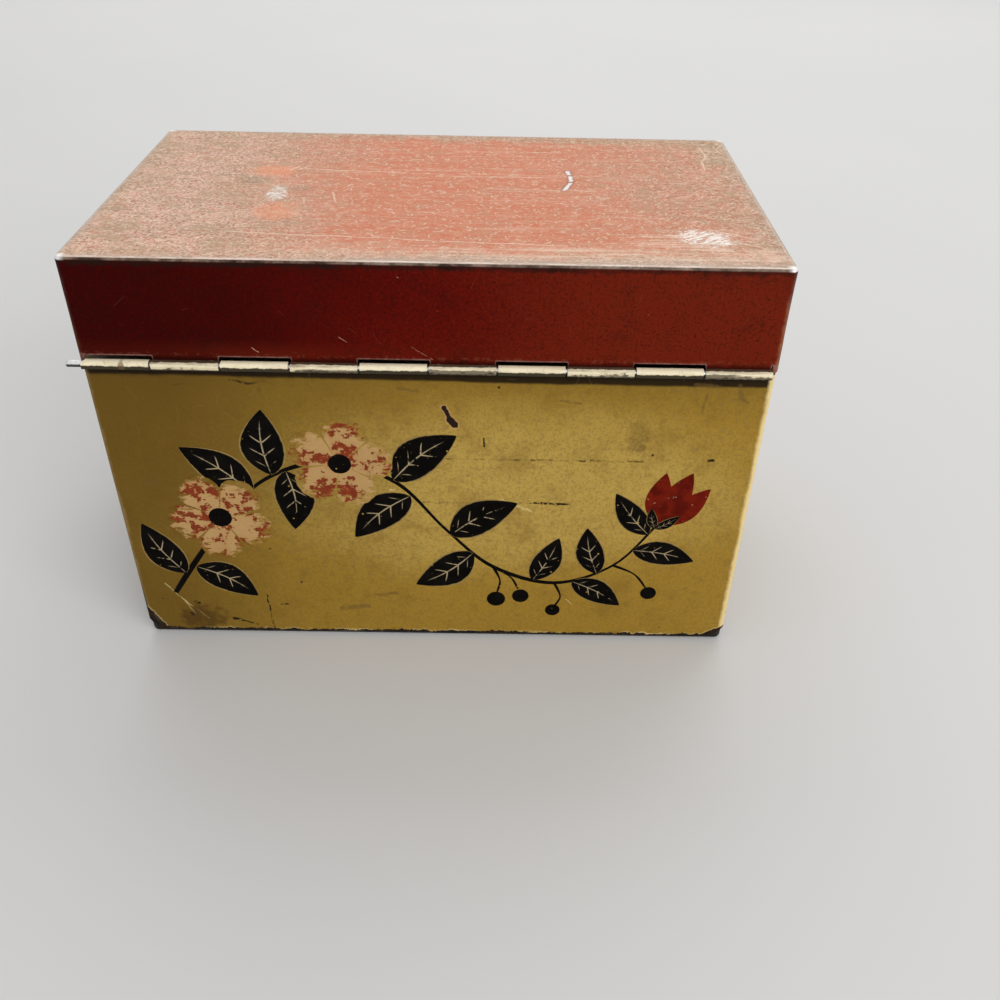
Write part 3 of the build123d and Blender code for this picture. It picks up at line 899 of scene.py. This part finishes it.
def redTop(point, broad, cloud, grain, ragged, inward):
    # The lid's top, rubbed chalky and paled by a painted sheen: orange red in the middle, dusty pink either
    # side, tan at the edges.
    x, y, _ = point.parts()
    fromHinge = y - hingeWallmm
    outer = (larger(0 - x, (x - 12) * 0.8) + broad.sway(44) + cloud.sway(16)).over(8, 50)
    edgeTan = (inward + cloud.sway(11) + broad.sway(9) + grain.sway(4)).under(0.0, 7.0)
    nearWide = (fromHinge + cloud.sway(9) + ragged.sway(6)).under(2.5, 13)
    nearBand = (fromHinge + cloud.sway(7)).under(4, 12)
    nearPale = (fromHinge + cloud.sway(5) + grain.sway(3)).under(1.6, 4.6)
    farBand = (y + cloud.sway(8) + grain.sway(4)).over(31, 37) * x.over(18, 44)
    soft = cloud.sway(2.2) + grain.sway(2.2) + ragged.sway(1.2)
    orange = larger(*(patch(point, soft, *place) for place in redCoat["orangePatches"]))
    greys = zip(redCoat["greyPatches"], redCoat["greyShares"])
    grey = larger(*(patch(point, soft, *place) * share for place, share in greys))
    olive = patch(point, cloud.sway(2.0) + grain.sway(1.4), *redCoat["olivePatch"])

    # fine mottling, strongest away from the middle, and rubbing along X in it
    awayFromMiddle = larger(outer, edgeTan)
    strength = 0.32 + 0.88 * awayFromMiddle
    mottle = point.noise(0.5, 2, 0.65, (0.85, 1, 1), (3, 8, 1))
    second = point.noise(1.9, 4, 0.65, (0.8, 1, 1), (9, 2, 5))
    third = point.noise(3.4, 3, 0.6, (0.7, 1.1, 1), (4, 1, 3))
    rub = point.noise(1.0, 3, 0.6, (0.05, 1.5, 1.0))
    blotch = point.noise(4.6, 3, 0.6, shift=(6, 3, 1)).over(0.46, 0.64) * awayFromMiddle
    tarnish = point.noise(1.5, 5, 0.7, (0.7, 1, 1), (8, 5, 2)).over(0.56, 0.68) * awayFromMiddle
    short = larger(fibres(point, 2.0, 0.8, 0.24, seed=3.1), fibres(point, 3.4, 1.3, 0.2, 0.1, 0.9, 7.7))

    # marks, their edges shaken and broken by the noises
    traced = point.shaken((1, 1, 0), ragged.sway(1.3), cloud.sway(1.8), 0.0)
    broken = mottle.over(0.38, 0.54)
    lines = strokes(traced, redCoat["topLines"], 2) * (0.3 + 0.7 * broken)
    chips, rims = (
        strokes(traced, [(*chip, redCoat[width]) for chip in redCoat["chips"]], 2)
        for width in ("chipWidth", "chipRimWidth")
    )
    halo = patch(point, soft, *redCoat["rubbedHalo"])
    slanted = point.node("Mapping", {"Vector": point, "Rotation": (0, 0, 0.6)}, vector_type="TEXTURE")
    brushed = slanted.noise(0.9, 3, 0.6, (0.3, 1.4, 1)).over(0.44, 0.54)
    flakes = point.noise(0.9, 3, 0.7, (1, 0.8, 1), (1, 4, 2)).over(0.44, 0.52)
    bare = larger(
        patch(point, soft * 2.0, *redCoat["barePatch"]).over(0.1, 0.6) * flakes * 0.75,
        patch(point, soft, *redCoat["rubbedPatch"]).over(0.1, 0.8) * (0.2 + 0.8 * brushed), chips,
    )
    top = layered(
        redCoat["topMiddle"], redCoat, ("topOuter", outer * (1 - 0.25 * x.over(0, 40))),
        ("topLeft", (0 - x + broad.sway(30)).over(22, 62) * 0.8), ("topEdge", edgeTan * 0.85),
        ("nearPink", nearWide * 0.62), ("orange", orange * 0.8), ("greyMark", grey * 0.8),
        ("topOlive", larger(olive, farBand * 0.5) * 0.75),
        ("fleck", mottle.over(0.47, 0.66) * strength * 0.72),
        ("flake", mottle.under(0.32, 0.48) * strength * 0.75),
        ("topEdge", second.over(0.52, 0.68) * (0.26 + 0.3 * outer)),
        ("topTan", third.over(0.50, 0.64) * (0.24 + 0.34 * outer)),
        ("nearPink", third.under(0.36, 0.50) * (0.16 + 0.24 * outer)),
        ("topRed", second.under(0.32, 0.50) * (0.40 - 0.14 * outer)),
        ("flake", rub.over(0.55, 0.68) * (0.26 - 0.18 * outer)),
        ("topRed", rub.under(0.34, 0.46) * (0.36 - 0.28 * outer)),
        ("flake", rub.over(0.48, 0.60) * nearBand * x.over(-14, 30) * 0.6),
        ("nearGrey", nearPale * x.over(-22, -8) * (0.10 + 0.75 * mottle.over(0.38, 0.56))),
        ("topTan", blotch * 0.5), ("fleck", tarnish * 0.4),
        ("flake", short * 0.85 * second.over(0.34, 0.56)), ("orangeSoft", orange * 0.5),
        ("flake", lines * 0.8), ("flake", halo * (0.04 + 0.8 * rub.over(0.44, 0.60))),
        ("outline", rims * 0.6),
        ("ash", patch(point, soft * 2.0, *redCoat["ashPatch"]) * (0.3 + 0.6 * broken)),
        ("silver", bare * 0.85),
    )
    return top, bare, short


def redEnamel():
    finish, point = newFinish("red_enamel")
    x, y, z = point.parts()
    down, fromHinge = lidTopmm - z, y - hingeWallmm
    broad, cloud = point.noise(34), point.noise(8, 4, 0.6)
    grain, ragged = point.noise(0.8, 3, 0.6), point.noise(1.7, 4, 0.65)
    fromSide, fromEnd = lidXmm - abs(x), smaller(fromHinge, lidFrontmm - y)
    inward, bendAway = smaller(fromSide, fromEnd), larger(fromSide, fromEnd)
    shade = (x + broad.sway(50)).over(-70, 66)
    skirt, cuts = redSkirt(point, shade, grain, ragged, cloud, bendAway)
    top, bare, flakes = redTop(point, broad, cloud, grain, ragged, inward)
    onTop = down.under(0.30, 0.62)

    # the top's edges: pale on the top side, bare tin and a painted highlight on the crest, a dark ragged
    # line with painted shade under it
    across = down - inward
    edgeWave = grain.sway(0.5) + point.noise(6).sway(0.5)
    border = (across + cloud.sway(2.4) + grain.sway(1.2)).over(-2.6, -0.6) * onTop
    line = across.over(-0.34, -0.12) * (across + ragged.sway(2.0) + grain.sway(1.0)).under(0.9, 1.8)
    line = line * (0.60 + 0.40 * point.noise(7, 4, 0.6, shift=(4, 4, 4)).over(0.38, 0.6))
    crest = abs(across + 0.62 + edgeWave * 0.9).under(0.16, 0.42)
    crest = crest * (0.40 + 0.60 * point.noise(5, 4, 0.6, shift=(7, 1, 3)).over(0.40, 0.54))
    crest = crest * (1 - 0.6 * fromHinge.over(0.8, 1.6))
    atCorner = (bendAway + edgeWave).under(0.9, 2.2) * (down + edgeWave * 0.6).under(0.35, 0.7)
    colour = layered(
        mixed(onTop, skirt, top), redCoat, ("nearGrey", border * (0.1 + 0.55 * grain.over(0.42, 0.56))),
        ("darkLine", line * (0.94 - 0.14 * x.over(0, 70))), ("bareLine", crest),
        ("bareCorner", atCorner * 0.9),
    )
    bare = larger(crest, atCorner, bare * onTop)
    relief = grain * 0.6 + cloud * 0.6 - onTop * flakes * 0.5 - (1 - onTop) * cuts - bare * 1.2
    roughness = 0.38 + 0.16 * cloud + 0.12 * onTop - 0.10 * bare
    return sealed(finish, colour, roughness, bare * 0.45, redCoat["shine"], relief, 0.035)


tins = dict(
    palette(
        edge=(150, 140, 126), edgeDark=(88, 76, 64), edgeRust=(70, 50, 36),
        pan=(26, 22, 19), panWorn=(40, 32, 26), panDust=(60, 45, 32), panRust=(92, 54, 30),
        panBare=(120, 114, 106), wire=(236, 236, 236), wireDull=(176, 172, 168), wireDark=(20, 18, 18),
    ),
    panShine=0.2,
)


def tinEdge():
    finish, point = newFinish("cut_edge")
    fine, cloud = point.noise(0.8, 4), point.noise(5)
    colour = layered(
        tins["edge"], tins, ("edgeDark", fine.over(0.4, 0.65)), ("edgeRust", cloud.over(0.5, 0.7) * 0.7)
    )
    return sealed(finish, colour, 0.35 + 0.3 * cloud, fine * 0.9, relief=fine, depth=0.03)


def darkTin():
    # The pan: worn bare in a ring that the box stands on.
    finish, point = newFinish("dark_japanned_tin")
    x, y, z = point.parts()
    fine, cloud, broad = point.noise(0.9, 4), point.noise(6, 4, 0.6), point.noise(30)
    inward = smaller(panHigh.x / mm - abs(x), panHigh.y / mm - abs(y))
    ring = inward.over(0.1, 0.8) * (inward + cloud.sway(7)).under(1.0, 4.5)
    rubbed = ring * z.under(0.1, 0.5) * fine.over(0.40, 0.60)
    flat = point.flat()
    hairs = larger(fibres(flat, 7, 5, 0.14, 0.3, 1.2), fibres(flat, 11, 8, 0.12, 1.1, 3.0, 4.4))
    bare = larger(rubbed * 0.8, hairs * 0.6)
    colour = layered(
        tins["pan"], tins, ("panWorn", cloud.over(0.4, 0.7)), ("panDust", broad.over(0.5, 0.66) * 0.4),
        ("panRust", specks(point, 8, 0.8, 0.25) * 0.7), ("panBare", bare),
    )
    relief = fine * 0.5 + cloud - hairs
    return sealed(finish, colour, 0.38 + 0.25 * cloud, bare * 0.8, tins["panShine"], relief, 0.03)


def steelWire():
    finish, point = newFinish("hinge_wire_steel")
    fine, cloud = point.noise(0.7, 4, 0.6, (0.4, 1, 1)), point.noise(4, 4)
    # painted light: the wire stays bright on top as a painted highlight, with painted shade underneath and
    # some tarnish
    low = (point.parts()[2] - hingeZmm + fine.sway(0.4)).under(0.0, 0.3)
    colour = layered(
        tins["wire"], tins, ("wireDull", fine.over(0.4, 0.7)),
        ("wireDark", larger(low * 0.96, cloud.over(0.54, 0.70) * 0.6)),
    )
    roughness = 0.28 + 0.25 * cloud + 0.3 * low
    return sealed(finish, colour, roughness, 0.85 - 0.8 * low, relief=fine, depth=0.02)


inks = dict(
    palette(
        black=(7, 6, 5), blackWorn=(40, 34, 28), vein=(178, 160, 124), outline=(192, 160, 98),
        red=(112, 26, 10), redDeep=(84, 15, 6), residue=(182, 144, 94), residueDeep=(170, 126, 78),
        remnant=(134, 40, 18), speck=(214, 150, 120),
    ),
    shine=0.03,
)


def blackInk():
    # Veins by the pattern map: a rib along the middle, and side ribs that leave it at a slant.
    finish, point = newFinish("black_print")
    u, v, _ = point.node("UVMap", uv_map="spray").parts()
    fine, cloud = point.noise(1.2, 4, 0.6), point.noise(4)
    side = abs(v)
    rib = (side + u * 0.03 + fine.sway(0.06)).under(0.02, 0.065) * u.under(0.72, 0.86)
    place = (u - side * 0.22) * 5.0
    slant = abs(place.math("FRACT", place) - 0.5)
    ribs = (slant + side * 0.06).under(0.035, 0.085) * side.under(0.42, 0.6)
    ribs = ribs * u.over(0.12, 0.2) * u.under(0.62, 0.74)
    veins = larger(rib, ribs) * (side < 1.5) * (fine + cloud.sway(1.4)).over(0.30, 0.46)
    rim = (side + fine.sway(0.12)).over(0.90, 0.97) * (side < 1.5)
    chips = larger((fine + point.noise(0.5, 2).sway(0.5)).over(0.72, 0.76), specks(point, 2.6, 0.32, 0.35))
    colour = layered(
        inks["black"], inks, ("blackWorn", cloud.over(0.4, 0.7) * 0.15), ("vein", veins * 0.9),
        ("outline", rim * 0.6), (mustardCoat(point)[0], chips * 0.9),
    )
    return sealed(finish, colour, 0.36 + 0.2 * cloud, 0.0, inks["shine"], fine - chips - veins, 0.02)


def redInk():
    # Blossoms, by the pattern map's count of petals, are rubbed to a pink residue; buds are still red.
    finish, point = newFinish("red_print")
    u, v, _ = point.node("UVMap", uv_map="spray").parts()
    fine, cloud = point.noise(1.0, 4, 0.6), point.noise(4, 3, 0.6)
    streak = point.noise(2.6, 5, 0.7, (0.28, 0.28, 1.3))
    left = (streak + cloud.sway(1.2) + fine.sway(0.4)).over(0.51, 0.56)
    gone = (v + point.noise(1.6, 5, 0.7, (0.6, 0.6, 1.6)).sway(1.3)).over(0.82, 0.95)
    seam = abs(u.math("FRACT", u + 0.5) - 0.5).under(0.012, 0.035)
    bud = layered(
        inks["red"], inks, ("redDeep", cloud.over(0.4, 0.65)),
        ("speck", (fine + streak.sway(0.6)).over(0.66, 0.72) * 0.8),
    )
    worn = layered(
        inks["residue"], inks, ("residueDeep", cloud.over(0.42, 0.62) * 0.7),
        (mustard["pale"], (fine - 0.4) * 0.35),
        (mixed(fine.over(0.4, 0.6), inks["remnant"], inks["red"]), left * 0.9),
        (mustardCoat(point)[0], larger(gone, seam * v.over(0.2, 0.5)) * 0.9),
    )
    colour = mixed(u > 8, bud, worn)
    return sealed(finish, colour, 0.42 + 0.2 * cloud, 0.0, inks["shine"], fine + left, 0.02)


finishes = dict(
    mustard=mustardEnamel(),
    blackInk=blackInk(),
    redInk=redInk(),
    creamBody=creamEnamel("cream_enamel", 0.0),
    creamLid=creamEnamel("cream_enamel_worn", 1.0),
    red=redEnamel(),
    edge=tinEdge(),
    dark=darkTin(),
    wire=steelWire(),
)
print("finishes made:", len(finishes))

# the tin's own pieces
bodyWrapper = makePiece(
    "body_wrapper", wrapperParts(),
    [finishes["mustard"], finishes["creamBody"], finishes["edge"]], tin["thickness"],
)
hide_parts("body_shell")
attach(bodyWrapper, "body")

lidCover = makePiece(
    "lid_cover", coverParts(), [finishes["red"], finishes["creamLid"], finishes["edge"]], tin["thickness"]
)
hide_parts("lid_shell")
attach(lidCover, "lid")

panTray = makePiece("pan_tray", panParts(), [finishes["dark"]], tin["thickness"])
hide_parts("bottom_pan")
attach(panTray, "body")

hingeWire = makePiece("hinge_wire", wireParts(), [finishes["wire"]])
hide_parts("hinge_pin")
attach(hingeWire, "body")
print("tin pieces made: wrapper, lid, pan, wire")

# Printed sprays, in millimetres on a wall, seen from outside: right of its middle, and up from the table.
# A leaf, calyx or bud is its foot and tip, its width and its bow to the left. A stem is its width and the
# places along it. A round is its middle and radius. A blossom has its count of petals and its turn too.
garland = dict(
    ink=0.02,  # first layer stands this far out of the enamel
    layer=0.012,
    film=0.05 * mm,
    leaves=(
        (-56.5, 18.5, -64, 32.5, 8.2, 0.9), (-54, 20.4, -41, 12, 8.4, 1.0),
        (-38.5, 41, -52.5, 52.5, 9.0, -0.9), (-34, 46, -34.5, 62, 9.4, 1.0),
        (-31, 47, -30.5, 31.5, 8.8, 1.1), (-8.5, 45, 5, 56.5, 9.4, 1.1), (-5, 41, -17.5, 29.5, 9.0, -1.1),
        (3.5, 30.5, 18, 39.5, 9.0, 1.0), (8.5, 25.5, -4.5, 16, 8.6, 1.1), (22, 17.8, 27.5, 30, 6.6, -0.6),
        (31, 17.5, 42.5, 10.5, 6.8, 0.6), (36.5, 20, 33.5, 33, 6.6, 0.6), (44, 27, 58, 24, 6.8, 0.6),
        (47, 31.5, 39, 42.5, 6.2, 0.5),
    ),
    stems=(
        (1.1, -60, 12.5, -54.5, 21, -46, 33, -36, 44.5, -22, 49.5, -8, 44.5, 2.5, 32, 13, 21.5, 27, 17,
         40, 22.5, 48.5, 34),
        (0.6, 13, 21.5, 14.6, 17.5, 14.0, 14), (0.6, 13, 21.5, 17, 18.5, 18.8, 15),
        (0.55, 27, 17, 28.6, 13, 27.4, 10), (0.6, 40, 22.5, 45, 20, 48, 16),
    ),
    rounds=(  # berries, then the blossoms' hearts
        (13.8, 12.0, 2.1), (19.4, 13.0, 1.9), (27.0, 8.8, 1.7), (48.8, 14.4, 1.8),
        (-46.5, 34.5, 2.5), (-19.5, 49, 2.4),
    ),
    blossoms=((-46.5, 34.5, 11.6, 5, 0.2), (-19.5, 49, 11.2, 5, 0.75)),
    calyxes=((48.2, 33.2, 47.0, 38.8, 2.4, 0.3), (48.2, 33.2, 53.4, 36.8, 2.4, -0.3)),
    buds=((49, 34.5, 49.2, 48, 5.8, 0.8), (49, 34.5, 59, 44, 5.8, -0.8), (49, 34.5, 54.8, 48, 6.4, 0.0)),
)
endSprig = dict(
    leaves=(
        (-13, 25, -24, 33, 6.2, 0.7), (-8, 28.5, -11, 41, 6.2, 0.6), (-6, 29, 0.5, 18.5, 6.0, 0.6),
        (7, 35, 19, 30, 5.4, 0.6), (8, 36, 3.5, 47, 5.2, 0.5),
    ),
    stems=((0.9, -20, 19, -12, 26, -2, 30, 8, 36, 13.5, 44), (0.5, -12, 26, -12, 20, -9.5, 17)),
    rounds=((-9.1, 15.6, 1.5),),
    blossoms=(),
    calyxes=((13.3, 43.5, 11.6, 48, 2.2, 0.3), (13.3, 43.5, 17.6, 46.6, 2.2, -0.3)),
    buds=((13.6, 44, 12.4, 56, 5.2, 0.7), (13.6, 44, 22, 53, 5.2, -0.7), (13.6, 44, 17.6, 57, 5.8, 0.0)),
)


def leafGrid(footX, footY, tipX, tipY, width, bow):
    # Midline: from foot to tip, bowed by bow sin(pi s). Half width: width / 2 sin(pi s^0.8)^0.85, which
    # ends in a point. The pattern map is s along the leaf and t = -1 to 1 across it.
    s, t = np.linspace(0, 1, 29)[None, :], np.linspace(-1, 1, 9)[:, None]
    foot, run = np.array([footX, footY]), np.array([tipX - footX, tipY - footY])
    left = np.array([-run[1], run[0]]) / np.hypot(*run)
    half = 0.5 * width * np.sin(math.pi * s ** 0.8) ** 0.85
    aside = (bow * np.sin(math.pi * s) + t * half)[..., None] * left
    return foot + run * s[..., None] + aside, np.stack([s + 0 * t, t + 0 * s], -1)


def stemGrid(width, *places):
    # Catmull-Rom curve through the places, widened by half the width either way, thin at its far end.
    p = np.array([*places[:2], *places, *places[-2:]], float).reshape(-1, 2)
    t = np.linspace(0, 1, 9)[None, :-1, None]
    a, b, c, d = (p[k:len(p) - 3 + k, None, :] for k in range(4))
    line = 0.5 * (2 * b + (c - a) * t + (2 * a - 5 * b + 4 * c - d) * t**2 + (3 * b - a - 3 * c + d) * t**3)
    line = np.concatenate([line.reshape(-1, 2), p[-1:]])
    run = np.gradient(line, axis=0)
    left = np.stack([-run[:, 1], run[:, 0]], -1) / np.hypot(run[:, 0], run[:, 1])[:, None]
    share = np.linspace(0, 1, len(line))
    half = 0.5 * width * (1 - 0.35 * share) * (1 + 0.25 * np.sin(share * 17 * width))
    grid = line + np.linspace(-1, 1, 4)[:, None, None] * (half[:, None] * left)
    return grid, np.full_like(grid, 2.0)


def roundGrid(middleX, middleY, radius, petals=0, turn=0.0):
    # Polar grid: r = radius for a berry. A blossom's edge is radius (0.66 + 0.34 |sin(petals a / 2)|^0.55),
    # a little ragged. The pattern map is 10 and the petals counted round, and the share of the way out.
    a, share = np.linspace(0, math.tau, 121)[None, :], np.linspace(1, 0, 9)[:, None]
    edge = np.ones_like(a)
    if petals:
        edge = 0.66 + 0.34 * abs(np.sin(petals * a / 2)) ** 0.55
        edge = edge * (1 + 0.035 * waves(np.cos(a) * 9 * mm, np.sin(a) * 9 * mm, petals, 3 * mm))
    reach = radius * edge * share
    grid = np.stack([middleX + reach * np.cos(a + turn), middleY + reach * np.sin(a + turn)], -1)
    pattern = np.stack([10 + petals * a / math.tau + 0 * share, share + 0 * a], -1)
    return grid, pattern if petals else np.full_like(pattern, 2.0)


def onWall(outward, grid, layer, mirror=1):
    # Lays a flat grid on the wall that faces outward, over its swells and dents, layer by layer.
    outX, outY = outward
    right, up = grid[..., 0] * mirror * mm, grid[..., 1] * mm
    reach = sideX if outX else frontY
    x, y = outX * reach - outY * right, outY * reach + outX * right
    rise = (garland["ink"] + garland["layer"] * layer) * mm - wallSink(x, y, up)
    return np.stack([x + outX * rise, y + outY * rise, up + 0 * x], -1)


def printSpray(name, motif, outward, mirror=1):
    # One piece of black ink, and one of red. Each group: its grids, first layer and count of layers.
    groups = dict(
        black=((stemGrid, "stems", 0, 2), (leafGrid, "leaves", 2, 2), (roundGrid, "rounds", 6, 1),
               (leafGrid, "calyxes", 8, 2)),
        red=((roundGrid, "blossoms", 4, 1), (leafGrid, "buds", 4, 3)),
    )
    for ink, laid in groups.items():
        parts = []
        for gridOf, group, firstLayer, layers in laid:
            for number, shape in enumerate(motif[group]):
                grid, pattern = gridOf(*shape)
                points = onWall(outward, grid, firstLayer + number % layers, mirror)
                parts.append(gridPart(points, uv=pattern, flip=mirror < 0))
        spray = makePiece(f"{name}_{ink}", parts, [finishes[f"{ink}Ink"]], garland["film"], "spray")
        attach(spray, "body")


printSpray("hinge_spray", garland, (0, -1))
printSpray("front_spray", garland, (0, 1), -1)
printSpray("right_sprig", endSprig, (1, 0))
printSpray("left_sprig", endSprig, (-1, 0), -1)
print("sprays printed on the four walls")

# floor, light and camera
room = dict(
    palette(floorColour=(214, 214, 214), floorPatches=(222, 221, 219), skyColour=(236, 236, 236)),
    floorSize=6.0,
    skyLight=0.6,
)


def layFloor():
    half = room["floorSize"] / 2
    corner = np.array([[[-half, -half, 0], [half, -half, 0]], [[-half, half, 0], [half, half, 0]]])
    finish, point = newFinish("pale_floor")
    colour = layered(room["floorColour"], room, ("floorPatches", point.noise(300)))
    floor = makePiece("floor", [gridPart(corner)], [sealed(finish, colour, 0.85)])


def hangLamp(name, place, aim, size, power):
    light = bpy.data.lights.new(name, "AREA")
    light.shape = "RECTANGLE"
    light.size, light.size_y = size
    light.energy = power
    lamp = bpy.data.objects.new(name, light)
    lamp.location = place
    lamp.rotation_euler = (Vector(aim) - Vector(place)).to_track_quat("-Z", "Y").to_euler()
    bpy.context.scene.collection.objects.link(lamp)


def lightWorld():
    # The sky shows at full strength, and lights the box with less.
    world = bpy.data.worlds.new("studio")
    bpy.context.scene.world = world
    world.use_nodes = True
    sky = next(node for node in world.node_tree.nodes if node.type == "BACKGROUND")
    rays = Sock(world.node_tree)
    seen = rays.node("LightPath", out="Is Camera Ray") + rays.node("LightPath", out="Is Glossy Ray")
    seen = seen + rays.node("LightPath", out="Is Transmission Ray")
    strength = room["skyLight"] + (seen > 0.5) * (1 - room["skyLight"])
    plugInto(world.node_tree, sky.inputs, {"Color": room["skyColour"], "Strength": strength})


layFloor()
lightWorld()
hangLamp("back_window", (0.10, 0.90, 0.95), (0, 0, 0.05), (1.6, 1.1), 7.5)
hangLamp("front_window", (0.75, -1.00, 0.70), (0, 0, 0.05), (1.2, 0.9), 11)

camera = dict(
    place=(12.05 * mm, -209.85 * mm, 165.97 * mm),
    aim=(14.73 * mm, 1.75 * mm, 9.97 * mm),
    roll=1.3,  # degrees
    focal=35.53,  # millimetres, on a sensor 36 wide
)
shot = bpy.data.cameras.new("camera")
shot.sensor_width = 36
shot.lens = camera["focal"]
shot.clip_start = 0.01
shot.clip_end = 20
view = bpy.data.objects.new("camera", shot)
view.location = camera["place"]
towards = (Vector(camera["aim"]) - Vector(camera["place"])).to_track_quat("-Z", "Y")
turned = towards @ Quaternion((0, 0, 1), math.radians(camera["roll"]))
view.rotation_euler = turned.to_euler()
bpy.context.scene.collection.objects.link(view)
bpy.context.scene.camera = view
bpy.context.scene.view_settings.view_transform = "Standard"
print("floor, light and camera set")
